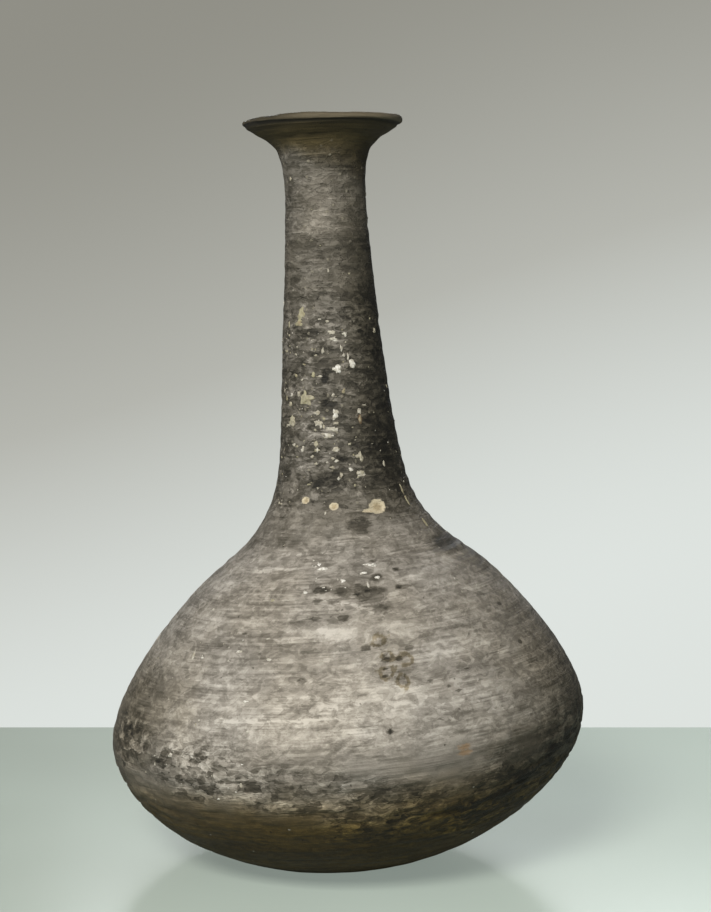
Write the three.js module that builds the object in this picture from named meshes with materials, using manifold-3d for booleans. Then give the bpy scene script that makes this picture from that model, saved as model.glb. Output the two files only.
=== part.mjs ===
// A wheel-thrown pottery bottle: a low round belly, a long tapering neck and a trumpet lip.
// It is built in the sections its potter joined: a thrown bowl, a shoulder closed over it and a
// neck set on top, with a thin ring of slip in each joint. The bottle has sunk and leans a little,
// as it did in the kiln, and it stands on the small flat that this left under its round base.
//
// Millimetres, +Z up. The origin is the middle of that flat. The bottle leans towards -X.
// Heights and radii are those of the upright bottle, before it leans, along and from its own axis.

import * as THREE from "three";
import { mergeVertices } from "three/addons/utils/BufferGeometryUtils.js";
import Module from "manifold-3d";

// Driving dimensions
const overallHeight = 260;
const bellyRadius = 82;
const bellyHeight = 50.5;
const rootRadius = 44.5;
const rootHeight = 106;
const collarRadius = 21.3;
const collarAboveRoot = 36;
const waistRadius = 13.7;
const waistBelowLip = 25.4;
const lipRadius = 27.9;

// Walls, measured square to the surface
const floorWall = 6;
const bodyWall = 4.2;
const neckWall = 3.2;
const lipWall = 2.6;

// The two joints
const bellyJointHeight = 56;
const neckJointHeight = 109;
const slipThickness = 1.2;
const jointClearance = 0.3;

// How the bottle has settled
const footFlatDepth = 1.6;
const lean = THREE.MathUtils.degToRad(2.43);
const bodyTip = THREE.MathUtils.degToRad(4.85);
const lipTip = THREE.MathUtils.degToRad(1.7);
const neckBow = 1.7;
const neckBowHeight = 125;
const neckBowSpan = 32;

// How finely it is faceted
const aroundSteps = 48;
const lipEdgeSteps = 4;

const collarHeight = rootHeight + collarAboveRoot;
const lipHeight = overallHeight - lipWall;
const waistHeight = lipHeight - waistBelowLip;

// A station is a place on the outline that the potter's rib would pass through. Its climb is the
// direction of the outline there, from 0 for straight out to 90 for straight up. fullBelow and
// fullAbove say how far the curve holds that direction, as a share of the way to the next station.
function station(radius, height, climb, fullBelow, fullAbove) {
  const angle = THREE.MathUtils.degToRad(climb);
  const direction = new THREE.Vector2(Math.cos(angle), Math.sin(angle));
  return { point: new THREE.Vector2(radius, height), direction, fullBelow, fullAbove };
}

const foot = station(0, 0, 0, 0, 0.523);
const belly = station(bellyRadius, bellyHeight, 90, 0.232, 0.266);
const root = station(rootRadius, rootHeight, 144.5, 0.164, 0.455);
const collar = station(collarRadius, collarHeight, 98, 0.36, 0.2);
const waist = station(waistRadius, waistHeight, 90, 0.167, 0.66);
const lip = station(lipRadius, lipHeight, 37, 0.44, 0);

// One smooth stretch of the outline, from a station up to the next.
function stretch(from, to) {
  const way = from.point.distanceTo(to.point);
  const leaving = from.point.clone().addScaledVector(from.direction, from.fullAbove * way);
  const arriving = to.point.clone().addScaledVector(to.direction, -to.fullBelow * way);
  return new THREE.CubicBezierCurve(from.point, leaving, arriving, to.point);
}

// The wall is thickest in the floor and thins up the neck to the lip.
function wallAt(height) {
  const { smoothstep, lerp } = THREE.MathUtils;
  const body = lerp(floorWall, bodyWall, smoothstep(height, 0, bellyHeight / 2));
  const neck = lerp(body, neckWall, smoothstep(height, rootHeight, collarHeight));
  return lerp(neck, lipWall, smoothstep(height, waistHeight, lipHeight));
}

// The outer outline runs from the middle of the foot to the lip. Each of its points has a partner
// on the inside of the wall, and together the partners make the inner outline.
const outerOutline = [];
const innerOutline = [];

function traceStretch(from, to, steps) {
  const curve = stretch(from, to);
  const firstStep = outerOutline.length === 0 ? 0 : 1;
  for (let step = firstStep; step <= steps; step += 1) {
    const along = step / steps;
    const outer = curve.getPoint(along);
    const direction = curve.getTangent(along);
    const inward = new THREE.Vector2(-direction.y, direction.x);
    const inner = outer.clone().addScaledVector(inward, wallAt(outer.y));
    inner.x = Math.max(inner.x, 0);
    outerOutline.push(outer);
    innerOutline.push(inner);
  }
}

traceStretch(foot, belly, 11);
traceStretch(belly, root, 7);
traceStretch(root, collar, 7);
traceStretch(collar, waist, 5);
traceStretch(waist, lip, 8);

// How far from the bottle's axis the flat reaches, on the +X side (side 1) or the -X side (side -1).
function flatReach(side) {
  const aboveFlat = (point) => point.y + side * point.x * Math.tan(bodyTip) - footFlatDepth;
  const first = outerOutline.findIndex((point) => aboveFlat(point) > 0);
  const before = outerOutline[first - 1];
  const after = outerOutline[first];
  const share = aboveFlat(before) / (aboveFlat(before) - aboveFlat(after));
  return THREE.MathUtils.lerp(before.x, after.x, share);
}

// Places the bottle so that the middle of the flat is at the origin.
const footOffset = (flatReach(-1) - flatReach(1)) / 2;

// The stretch of an outline between two heights, with its ends exactly at them.
function cutOutline(outline, low, high) {
  const kept = [];
  outline.forEach((point, index) => {
    const before = outline[index - 1];
    for (const level of [low, high]) {
      if (before && before.y < level && point.y > level) {
        kept.push(before.clone().lerp(point, (level - before.y) / (point.y - before.y)));
      }
    }
    if (point.y >= low && point.y <= high) kept.push(point);
  });
  return kept.sort((a, b) => a.y - b.y);
}

// The rounded edge of the lip, from the end of the outer outline over to the inner one.
function lipEdge() {
  const outer = outerOutline[outerOutline.length - 1];
  const inner = innerOutline[innerOutline.length - 1];
  const middle = outer.clone().add(inner).multiplyScalar(0.5);
  const points = [];
  for (let step = 1; step < lipEdgeSteps; step += 1) {
    const turn = (Math.PI * step) / lipEdgeSteps;
    points.push(outer.clone().sub(middle).rotateAround(new THREE.Vector2(), turn).add(middle));
  }
  return points;
}

// Slides and tips each level of the upright bottle into the place where it settled.
function settle(geometry) {
  const position = geometry.getAttribute("position");
  const vertex = new THREE.Vector3();
  for (let index = 0; index < position.count; index += 1) {
    vertex.fromBufferAttribute(position, index);
    const height = vertex.z;
    const fromBow = (height - neckBowHeight) / neckBowSpan;
    const centre = footOffset - height * Math.tan(lean) + neckBow * Math.exp(-fromBow * fromBow);
    const upNeck = THREE.MathUtils.smoothstep(height, rootHeight, collarHeight);
    const tip = THREE.MathUtils.lerp(bodyTip, lipTip, upNeck);
    const z = height + vertex.x * Math.tan(tip) - footFlatDepth;
    position.setXYZ(index, centre + vertex.x, vertex.y, z);
  }
  return geometry;
}

// Turns a profile on the wheel. A closed profile begins and ends at the same point.
function thrown(profile) {
  const geometry = new THREE.LatheGeometry(profile, aroundSteps);
  geometry.rotateX(Math.PI / 2);
  return settle(geometry);
}

// A section of the wall between two heights, with a flat joint face at each cut.
function wallSection(low, high) {
  const outer = cutOutline(outerOutline, low, high);
  const inner = cutOutline(innerOutline, low, high).reverse();
  return thrown([...outer, ...inner, outer[0]]);
}

const wasm = await Module();
wasm.setup();

// A closed solid from a closed mesh, without the flattened triangles that meet the axis.
function toSolid(geometry) {
  const bare = geometry.clone();
  bare.deleteAttribute("normal");
  bare.deleteAttribute("uv");
  const merged = mergeVertices(bare, 1e-4);
  const corners = merged.index.array;
  const kept = [];
  for (let first = 0; first < corners.length; first += 3) {
    const triangle = [...corners.slice(first, first + 3)];
    if (new Set(triangle).size === 3) kept.push(...triangle);
  }
  const vertProperties = new Float32Array(merged.getAttribute("position").array);
  const triVerts = new Uint32Array(kept);
  return new wasm.Manifold(new wasm.Mesh({ numProp: 3, vertProperties, triVerts }));
}

function toGeometry(solid) {
  const mesh = solid.getMesh();
  const geometry = new THREE.BufferGeometry();
  geometry.setAttribute("position", new THREE.BufferAttribute(mesh.vertProperties, 3));
  geometry.setIndex(new THREE.BufferAttribute(mesh.triVerts, 1));
  geometry.computeVertexNormals();
  return geometry;
}

// Everything of the round base that would lie below the flat.
function belowTheFlat() {
  const width = 3 * bellyRadius;
  const depth = bellyHeight;
  return new THREE.BoxGeometry(width, width, depth).translate(0, 0, -depth / 2);
}

// The joints: the slip ring is centred on the joint's height, with clearance over and under it.
function joint(height) {
  const half = slipThickness / 2;
  return {
    sectionBelowEnds: height - half - jointClearance,
    ringLow: height - half,
    ringHigh: height + half,
    sectionAboveStarts: height + half + jointClearance,
  };
}

const bellyJoint = joint(bellyJointHeight);
const neckJoint = joint(neckJointHeight);

function lowerBody() {
  const outer = cutOutline(outerOutline, 0, bellyJoint.sectionBelowEnds);
  const inner = cutOutline(innerOutline, 0, bellyJoint.sectionBelowEnds).reverse();
  const bowl = toSolid(thrown([...outer, ...inner]));
  return toGeometry(bowl.subtract(toSolid(belowTheFlat())));
}

function upperBody() {
  return wallSection(bellyJoint.sectionAboveStarts, neckJoint.sectionBelowEnds);
}

function neck() {
  const outer = cutOutline(outerOutline, neckJoint.sectionAboveStarts, overallHeight);
  const inner = cutOutline(innerOutline, neckJoint.sectionAboveStarts, 2 * overallHeight).reverse();
  return thrown([...outer, ...lipEdge(), ...inner, outer[0]]);
}

function slipRing(place) {
  return wallSection(place.ringLow, place.ringHigh);
}

const sootedClay = { color: 0x857d70, roughness: 0.82, metalness: 0 };
const scrapedClay = { color: 0x6f6654, roughness: 0.78, metalness: 0 };
const burnishedClay = { color: 0x8f887b, roughness: 0.74, metalness: 0 };
const slipClay = { color: 0xa39b8b, roughness: 0.9, metalness: 0 };

const bottle = new THREE.Group();

function addPiece(name, geometry, finish) {
  const piece = new THREE.Mesh(geometry, new THREE.MeshStandardMaterial(finish));
  piece.name = name;
  bottle.add(piece);
}

addPiece("lower_body", lowerBody(), scrapedClay);
addPiece("belly_joint_slip", slipRing(bellyJoint), slipClay);
addPiece("upper_body", upperBody(), burnishedClay);
addPiece("neck_joint_slip", slipRing(neckJoint), slipClay);
addPiece("neck", neck(), sootedClay);

export default bottle;
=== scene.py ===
"""A wheel-thrown grey pottery bottle with a round belly, a long neck and a trumpet lip.

The fixed frame holds the bottle's solids. This script throws the same sections again with a fine
skin: tool ridges, soft lumps, scars, a chipped lip and lime crusts, in dusty fired clay.
"""

import itertools
import math

import bmesh
import bpy
import numpy as np
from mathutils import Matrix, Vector


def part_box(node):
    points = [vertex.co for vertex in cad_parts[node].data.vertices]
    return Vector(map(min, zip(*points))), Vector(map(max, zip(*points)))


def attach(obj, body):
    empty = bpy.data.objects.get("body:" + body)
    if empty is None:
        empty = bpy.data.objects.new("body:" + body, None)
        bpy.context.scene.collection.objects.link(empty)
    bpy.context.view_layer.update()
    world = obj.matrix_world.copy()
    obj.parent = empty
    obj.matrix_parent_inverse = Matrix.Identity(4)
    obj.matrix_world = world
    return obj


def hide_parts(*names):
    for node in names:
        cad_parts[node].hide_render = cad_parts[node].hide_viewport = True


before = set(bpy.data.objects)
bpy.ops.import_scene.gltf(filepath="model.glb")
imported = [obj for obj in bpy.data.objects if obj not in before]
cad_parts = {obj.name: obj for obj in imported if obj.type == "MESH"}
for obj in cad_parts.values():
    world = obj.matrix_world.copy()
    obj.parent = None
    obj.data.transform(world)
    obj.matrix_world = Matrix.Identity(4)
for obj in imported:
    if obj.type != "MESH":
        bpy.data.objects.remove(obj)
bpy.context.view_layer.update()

# ---- Sizes ----
# The outline is drawn in the potter's own millimetres; the frame says how long one of them is.
DRAWN_BELLY_RADIUS = 82.0
bowl_low, bowl_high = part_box("lower_body")
MM = (bowl_high.y - bowl_low.y) / 2 / DRAWN_BELLY_RADIUS

OVERALL_HEIGHT = 260.0
BELLY_HEIGHT = 50.5
ROOT_HEIGHT = 106.0
COLLAR_HEIGHT = ROOT_HEIGHT + 36.0
LIP_WALL = 2.6
LIP_HEIGHT = OVERALL_HEIGHT - LIP_WALL
WAIST_HEIGHT = LIP_HEIGHT - 25.4
LIP_WEAR = 1.1
FLOOR_WALL = 6.0
BODY_WALL = 4.2
NECK_WALL = 3.2

# The joints between the thrown sections, each with its ring of slip.
BELLY_JOINT = 56.0
NECK_JOINT = 109.0
HALF_SLIP = 0.6

# How the bottle sank and leaned in the kiln.
FOOT_FLAT_DEPTH = 1.6
LEAN = math.radians(2.43)
BODY_TIP = math.radians(4.85)
LIP_TIP = math.radians(1.7)
NECK_BOW = 1.7
NECK_BOW_HEIGHT = 125.0
NECK_BOW_SPAN = 32.0

# How fine the skin is.
BODY_COLUMNS = 576
NECK_COLUMNS = 320
BODY_STEP = 0.85
NECK_STEP = 0.72
INNER_STEP = 3.0
NECK_INNER_STEP = 2.2
SLIP_STEP = 0.4

# The wall starts just off the axis, and a fan of faces closes the hole.
FOOT_START = 0.0004


# ---- The outline ----
def station(radius, height, climb, full_below, full_above):
    """A place that the potter's rib passes, and the direction of the outline there."""
    angle = math.radians(climb)
    direction = np.array([math.cos(angle), math.sin(angle)])
    return np.array([radius, height]), direction, full_below, full_above


STATIONS = [
    station(0.0, 0.0, 0.0, 0.0, 0.523),
    station(DRAWN_BELLY_RADIUS, BELLY_HEIGHT, 90.0, 0.232, 0.266),
    station(44.5, ROOT_HEIGHT, 144.5, 0.164, 0.455),
    station(21.3, COLLAR_HEIGHT, 98.0, 0.36, 0.2),
    station(13.7, WAIST_HEIGHT, 90.0, 0.167, 0.72),
    station(27.9 - 0.75 * LIP_WEAR, LIP_HEIGHT - LIP_WEAR, 34.0, 0.42, 0.0),
]


def smooth(value, low, high):
    """Rises gently from 0 at low to 1 at high."""
    share = np.clip((value - low) / (high - low), 0.0, 1.0)
    return share * share * (3.0 - 2.0 * share)


def trace_outline(steps=600):
    """The outer outline as columns: radius, height, outward normal, and length along it."""
    points = []
    for (start, leaving, _, above), (end, arriving, below, _) in zip(STATIONS, STATIONS[1:]):
        way = np.hypot(*(end - start))
        first = start + leaving * above * way
        second = end - arriving * below * way
        t = np.linspace(0.0, 1.0, steps)[:, None]
        curve = (
            (1 - t) ** 3 * start
            + 3 * (1 - t) ** 2 * t * first
            + 3 * (1 - t) * t**2 * second
            + t**3 * end
        )
        points.append(curve if not points else curve[1:])
    outline = np.concatenate(points)
    climb = np.gradient(outline, axis=0)
    climb /= np.linalg.norm(climb, axis=1)[:, None]
    length = np.concatenate([[0.0], np.cumsum(np.linalg.norm(np.diff(outline, axis=0), axis=1))])
    return np.column_stack([outline, climb[:, 1], -climb[:, 0], length])


OUTLINE = trace_outline()


def outline_at(along):
    """Rows of radius, height, normal and length at these lengths along the outline."""
    columns = [np.interp(along, OUTLINE[:, 4], OUTLINE[:, column]) for column in range(5)]
    return np.column_stack(columns)


def length_at(height):
    return float(np.interp(height, OUTLINE[:, 1], OUTLINE[:, 4]))


def wall_at(height):
    """The wall is thickest in the floor and thins up the neck to the lip."""
    body = FLOOR_WALL + (BODY_WALL - FLOOR_WALL) * smooth(height, 0.0, BELLY_HEIGHT / 2)
    neck = body + (NECK_WALL - body) * smooth(height, ROOT_HEIGHT, COLLAR_HEIGHT)
    return neck + (LIP_WALL - neck) * smooth(height, WAIST_HEIGHT, LIP_HEIGHT)


def rows_between(low, high, step):
    """Evenly spaced rows of the outer outline from one height up to another."""
    start, end = length_at(low), length_at(high)
    count = max(2, round((end - start) / step) + 1)
    return outline_at(np.linspace(start, end, count))


def inner_rows(low, high, step):
    """The rows inside the wall that face those between two heights of the outer outline."""
    rows = rows_between(low, high, step)
    wall = wall_at(rows[:, 1])
    rows[:, 0] = np.maximum(rows[:, 0] - rows[:, 2] * wall, 0.0)
    rows[:, 1] -= rows[:, 3] * wall
    rows[:, 2:4] *= -1.0
    return rows


def lip_rows(steps=10):
    """The rounded edge of the lip, from the end of the outer outline over to the inner one."""
    outer = outline_at([OUTLINE[-1, 4]])[0]
    normal = outer[2:4]
    middle = outer[:2] - normal * LIP_WALL / 2
    rows = []
    for step in range(1, steps):
        turn = math.pi * step / steps
        out = np.array(
            [
                normal[0] * math.cos(turn) - normal[1] * math.sin(turn),
                normal[0] * math.sin(turn) + normal[1] * math.cos(turn),
            ]
        )
        rows.append([*(middle + out * LIP_WALL / 2), *out, outer[4] + LIP_WALL * turn / 2])
    return np.array(rows)


# ---- Marks on the surface ----
# A mark is placed by how far round it is from the front, in degrees towards +X, and by its height
# up the outline. Its half width and half height are in millimetres over the surface.

# Shallow scars where a lump of lime has burst out of the clay and left a cream floor. Three stand
# in a row on the neck's root, the widest with a tail, and two are behind.
LIME_SCARS = [
    (27, 126.5, 3.0, 2.7),
    (20, 125.5, 3.4, 0.55),
    (-31, 129.5, 1.5, 1.3),
    (-7, 127.5, 1.6, 1.3),
    (152, 131, 2.1, 1.8),
    (-118, 124, 1.7, 1.4),
]


def strewn(seed, regions):
    """Marks at random in each region: its height range, its angle range, how many there are, and
    the smallest and largest half width. They are wider than they are high."""
    draw = np.random.default_rng(seed)
    for low, high, left, right, count, smallest, largest in regions:
        for _ in range(count):
            width = draw.uniform(smallest, largest)
            spot = (draw.uniform(left, right), draw.uniform(low, high))
            yield (*spot, width, width * draw.uniform(0.35, 0.9))


# Dark stains and sooty patches: the large ones, then small ones strewn over the front of the
# shoulder, the left of the neck and belly, and thinly all round.
DARK_STAINS = [
    (10, 100, 4.6, 3.4),
    (13, 96, 3.0, 2.3),
    (10, 61, 1.2, 1.1),
    (66, 111, 9.0, 4.0),
    (11, 121, 3.8, 2.7),
    (-9, 137, 4.6, 1.6),
    (-17, 135, 7.0, 1.3),
    (48, 37, 7.0, 2.4),
    (38, 33, 8.0, 1.8),
    (56, 44, 5.0, 2.6),
    (25, 21, 5.0, 0.9),
    (128, 96, 6.0, 3.4),
    (170, 58, 7.0, 2.2),
    (-140, 74, 5.0, 3.0),
    (-110, 42, 9.0, 2.6),
    (120, 40, 8.0, 2.4),
    *strewn(31, [
        (94, 107, -11, 24, 9, 1.2, 2.8),
        (74, 86, 5, 20, 7, 0.8, 1.8),
        (66, 74, 16, 31, 3, 0.9, 1.2),
        (134, 175, -26, 6, 5, 1.6, 2.6),
        (47, 61, -70, -32, 5, 1.6, 3.2),
        (56, 112, -180, 180, 12, 0.8, 1.6),
    ]),
]

# Small dark pits, one by itself low on the front.
DARK_PITS = [
    (10, 61, 1.1, 1.1),
    *strewn(32, [
        (98, 107, -12, 24, 4, 0.8, 1.8),
        (67, 73, 20, 31, 2, 0.6, 0.8),
        (28, 100, -180, 180, 8, 0.6, 1.1),
    ]),
]

# Small round marks, dark at the edge and paler inside, in a loose bunch on the front of the
# shoulder and two behind.
RING_MARKS = [
    (10, 87, 2.0),
    (17, 81, 2.0),
    (12, 83, 1.8),
    (11, 78, 2.0),
    (15, 75, 1.9),
    (-132, 88, 2.2),
    (140, 71, 2.5),
]

# Pale dusty patches.
PALE_PATCHES = [
    (-30, 109, 15.0, 0.6),
    (4, 98, 8.0, 1.0),
    (12, 95, 4.0, 0.9),
    (-14, 66, 15.0, 1.9),
    (3, 72, 16.0, 6.0),
    (-8, 61, 18.0, 2.4),
    (4, 84, 9.0, 5.0),
    (0, 90, 8.0, 3.0),
    (-30, 168, 4.0, 7.0),
    (-22, 153, 6.0, 6.0),
    (-40, 140, 4.0, 6.0),
    (-20, 228, 8.0, 9.0),
    (-30, 192, 3.0, 4.0),
    (-60, 44, 12.0, 6.0),
    (150, 80, 14.0, 5.0),
    (-150, 62, 16.0, 4.0),
    *strewn(33, [
        (76, 102, 6, 22, 4, 1.0, 1.8),
        (50, 58, -38, -10, 4, 1.4, 2.4),
        (136, 176, -28, 20, 5, 2.0, 3.0),
    ]),
]

# Wide dark zones with soft edges, partly a smoky darkening of the clay and partly painted shade:
# on the right of the neck, shoulder and belly and on the left edge of the belly, the sides that
# turn from the lamp. Two more stand behind.
SMOKED_SIDES = [
    (64, 180, 15, 70),
    (52, 150, 17, 32),
    (84, 108, 22, 24),
    (76, 65, 57, 42),
    (58, 44, 52, 24),
    (-70, 64, 42, 30),
    (-160, 150, 20, 36),
    (175, 60, 34, 20),
]

# Stretches of the band below the belly where the surface has flaked.
FLAKED_BAND = [
    (-64, 56, 22, 12),
    (-38, 50, 28, 14),
    (-14, 45, 28, 13),
    (10, 35, 30, 17),
    (38, 31, 34, 22),
    (66, 38, 32, 22),
    (100, 44, 34, 12),
    (140, 48, 38, 11),
    (-178, 44, 36, 12),
    (-136, 46, 36, 10),
    (-98, 50, 34, 12),
]

# Rusty spots.
RUST_SPOTS = [
    (27, 51, 2.6, 0.7),
    (27, 53, 2.4, 1.0),
    (24, 156, 0.7, 1.5),
    (-160, 47, 3.0, 1.0),
]

# The patches whose places each section of the wall carries, for the clay's finish to read.
PATCHES = {
    "lime": LIME_SCARS,
    "soot": DARK_STAINS,
    "pale": PALE_PATCHES,
    "rust": RUST_SPOTS,
    "smoke": SMOKED_SIDES,
    "flake": FLAKED_BAND,
}

# Thin scored lines: start angle, start height, end angle, end height and depth.
SCORED_LINES = [
    (16, 65, 37, 62, 0.16),
    (24, 58, 45, 54, 0.16),
    (19, 99, 60, 99, 0.14),
    (-40, 185, -4, 185, 0.2),
    (-60, 95, -28, 95.6, 0.1),
    (110, 90, 175, 90.6, 0.12),
]

# Pale level lines and a swoosh of dust, laid out in the same way; the last number is how pale.
DUST_LINES = [
    (-50, 108, -10, 109.5, 1.0),
    (-34, 103.5, -6, 104, 0.5),
    (-40, 113, 6, 113.5, 0.5),
    (6, 117, 44, 116.5, 0.6),
    (-38, 183.5, -5, 183, 0.5),
    (-36, 66.5, 4, 66, 0.9),
    (-20, 69.5, 16, 69, 0.6),
    (-4, 99, 5, 97.5, 0.9),
    (3, 97.5, 15, 94, 0.9),
    (-13, 101, 2, 98.5, 0.6),
    (30, 78, 52, 77.5, 0.6),
    (20, 62.5, 50, 61.5, 0.6),
    (120, 96, 170, 95.5, 0.6),
    (-170, 84, -120, 84.5, 0.6),
]

# Chips out of the lip: angle, half width in degrees and depth.
LIP_CHIPS = [(-62, 9, 0.9), (-78, 6, 0.7), (-40, 7, 0.5), (118, 8, 0.8)]

SCORE_HALF_WIDTH = 0.7
DUST_HALF_WIDTH = 1.0
GROOVE_HALF_WIDTH = 0.65
GROOVE_DEPTH = 0.55
SCAR_DEPTH = 0.55


def light_scores(seed=23):
    """Faint level lines that the potter's rib drew here and there."""
    draw = np.random.default_rng(seed)
    for low, high, count in ((60.0, 116.0, 46), (28.0, 52.0, 12), (120.0, 236.0, 30)):
        for _ in range(count):
            start, height = draw.uniform(-180.0, 180.0), draw.uniform(low, high)
            end = start + draw.uniform(9.0, 42.0)
            yield start, height, end, height + draw.uniform(-0.5, 0.5), draw.uniform(0.04, 0.13)


SCORED_LINES += light_scores()


def turn_from(turn, around):
    """How far round from an angle the turn is, from -180 to 180 degrees."""
    return (turn - around + 180.0) % 360.0 - 180.0


def mark_field(turn, along, radius, marks):
    """1 in the middle of the nearest mark, 0 at its edge and down to -1 outside it."""
    field = np.full(turn.shape, -1.0)
    for around, height, half_width, half_height in marks:
        across = np.radians(turn_from(turn, around)) * radius / half_width
        up = (along - length_at(height)) / half_height
        field = np.maximum(field, 1.0 - np.hypot(across, up))
    return field


def ring_field(turn, along, radius, place):
    """1 on the broken edge of each round mark, falling to -1 away from it."""
    field = np.full(turn.shape, -1.0)
    for around, height, size in RING_MARKS:
        across = np.radians(turn_from(turn, around)) * radius
        wobble = 1.0 + 0.35 * hills(place, 1.6, 16)
        from_middle = np.hypot(across, along - length_at(height)) * wobble
        field = np.maximum(field, 1.0 - np.abs(from_middle - size) / (0.40 * size))
    return field - 0.9 * smooth(hills(place, 1.9, 15), -0.05, 0.5)


def line_field(turn, along, lines, half_width):
    """The strength of each line in its middle, falling to 0 at its sides and past its ends."""
    field = np.zeros(turn.shape)
    for start, low, end, high, strength in lines:
        share = turn_from(turn, start) / (end - start)
        middle = length_at(low) + (length_at(high) - length_at(low)) * share
        ends = smooth(share, 0.0, 0.12) * (1.0 - smooth(share, 0.85, 1.0))
        side = np.clip(1.0 - np.abs(along - middle) / half_width, 0.0, 1.0)
        field = np.maximum(field, ends * side * strength)
    return field


def lip_groove(turn, along):
    """The groove of the potter's nail under the lip's bead, closer to it on the left."""
    below_edge = 0.65 + 0.45 * np.sin(np.radians(turn))
    from_middle = along - (OUTLINE[-1, 4] - below_edge)
    return np.exp(-((from_middle / GROOVE_HALF_WIDTH) ** 2))


# ---- Relief ----
LATTICE_SIZE = 64
LATTICE = np.random.default_rng(7).uniform(-1.0, 1.0, (LATTICE_SIZE,) * 3)


def hills(points, size, shift=0):
    """Smooth random hills between -1 and 1, about size apart; shift picks other hills."""
    place = points / size + 17.3 * shift
    cell = np.floor(place).astype(int)
    part = place - cell
    part = part * part * (3.0 - 2.0 * part)
    total = np.zeros(points.shape[:-1])
    for corner in itertools.product((0, 1), repeat=3):
        share = np.ones(points.shape[:-1])
        index = []
        for axis, side in enumerate(corner):
            share = share * (part[..., axis] if side else 1.0 - part[..., axis])
            index.append((cell[..., axis] + side) % LATTICE_SIZE)
        total += share * LATTICE[tuple(index)]
    return total


def scar_depth(turn, along, radius):
    """How deep the lime scars are: a steep edge and an almost flat floor."""
    return SCAR_DEPTH * smooth(mark_field(turn, along, radius, LIME_SCARS), 0.0, 0.35)


def lip_chips(turn, height, place):
    """How much is missing from the lip's edge, most of it on the left."""
    at_lip = smooth(height, LIP_HEIGHT - LIP_WEAR - 0.6, LIP_HEIGHT - LIP_WEAR + 0.8)
    worn = 0.25 * (1.0 + hills(place, 5.0, 3))
    chipped = 0.0
    for around, width, depth in LIP_CHIPS:
        chipped = chipped + depth * np.exp(-((turn_from(turn, around) / width) ** 2))
    return at_lip * (worn + chipped)


def outer_relief(turn, row, place):
    """How far the outer skin stands out from the drawn outline, in millimetres."""
    radius, height, along = row[..., 0], row[..., 1], row[..., 4]
    level = place * np.array([1.0, 1.0, 4.0])
    body = 1.0 - smooth(height, 110, 125)
    flaked = body * smooth(height, 24, 34) * (1.0 - smooth(height, 50, 60))
    lumps = 0.34 * hills(place, 34.0, 1) + 0.16 * hills(place, 12.0, 2)
    ridges = 0.10 * np.sin(along / 0.85 + 1.5 * hills(place, 30.0, 4))
    ridges = ridges * (0.35 + 0.65 * smooth(hills(place, 26.0, 5), -0.2, 0.6))
    burnish = 0.09 * hills(level, 9.0, 6) + 0.05 * hills(level, 3.6, 7)
    flakes = flaked * 0.42 * (smooth(hills(level * 0.6, 3.4, 8), -0.15, 0.15) - 0.5)
    pitted = smooth(height, 118, 132) * (1.0 - 0.6 * smooth(height, 186, 210))
    pits = 0.22 * pitted * smooth(hills(place, 2.6, 9), 0.1, 0.6)
    joint_step = 0.25 * np.exp(-(((along - length_at(NECK_JOINT)) / 1.4) ** 2))
    fade = smooth(radius, 2.0, 12.0)
    relief = (lumps + ridges + burnish + flakes - pits) * fade + joint_step
    relief = relief - GROOVE_DEPTH * lip_groove(turn, along) - scar_depth(turn, along, radius)
    relief = relief - line_field(turn, along, SCORED_LINES, SCORE_HALF_WIDTH)
    return relief - lip_chips(turn, height, place)


def inner_relief(turn, row, place):
    """The finger ridges left inside by throwing; they spiral up the wall."""
    spiral = np.sin(row[..., 4] / 1.35 + np.radians(turn))
    return (0.22 * spiral + 0.15 * hills(place, 9.0, 10)) * smooth(row[..., 0], 3.0, 10.0)


def foot_offset():
    """Puts the middle of the flat at the origin, as the frame has it."""
    reach = []
    for side in (-1.0, 1.0):
        above_flat = OUTLINE[:, 1] + side * OUTLINE[:, 0] * math.tan(BODY_TIP) - FOOT_FLAT_DEPTH
        reach.append(OUTLINE[np.argmax(above_flat > 0.0), 0])
    return (reach[0] - reach[1]) / 2


FOOT_OFFSET = foot_offset()


def settle(upright):
    """Slides and tips each level of the upright bottle into its place in the frame, in metres."""
    x, y, height = upright[..., 0], upright[..., 1], upright[..., 2]
    bow = NECK_BOW * np.exp(-(((height - NECK_BOW_HEIGHT) / NECK_BOW_SPAN) ** 2))
    centre = FOOT_OFFSET - height * math.tan(LEAN) + bow
    tip = BODY_TIP + (LIP_TIP - BODY_TIP) * smooth(height, ROOT_HEIGHT, COLLAR_HEIGHT)
    z = height + x * np.tan(tip) - FOOT_FLAT_DEPTH
    return np.stack([centre + x, y, np.maximum(z, 0.0)], axis=-1) * MM


def upright_point(turn, row, lift=0.0):
    """A point over the outline, turned round from the front and lifted off the surface."""
    angle = np.radians(turn)
    radius = row[..., 0] + row[..., 2] * lift
    height = row[..., 1] + row[..., 3] * lift
    return np.stack([radius * np.sin(angle), -radius * np.cos(angle), height], axis=-1)


# ---- Throwing the pieces ----
def surface_grid(rows, columns, relief):
    """Points and mark values over a grid of rows and columns."""
    turn = np.broadcast_to(np.arange(columns) * 360.0 / columns, (len(rows), columns))
    row = np.broadcast_to(rows[:, None, :], (len(rows), columns, 5))
    place = upright_point(turn, row)
    lift = relief(turn, row, place)
    radius, along = row[..., 0], row[..., 4]
    scores = line_field(turn, along, SCORED_LINES, SCORE_HALF_WIDTH)
    pits = 2.0 * smooth(mark_field(turn, along, radius, DARK_PITS), 0.0, 0.5)
    values = {key: mark_field(turn, along, radius, marks) for key, marks in PATCHES.items()}
    values["ring"] = ring_field(turn, along, radius, place)
    values["score"] = np.maximum(np.maximum(scores / 0.2, 2.2 * lip_groove(turn, along)), pits)
    values["dust"] = line_field(turn, along, DUST_LINES, DUST_HALF_WIDTH)
    return upright_point(turn, row, lift), place, values


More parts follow.
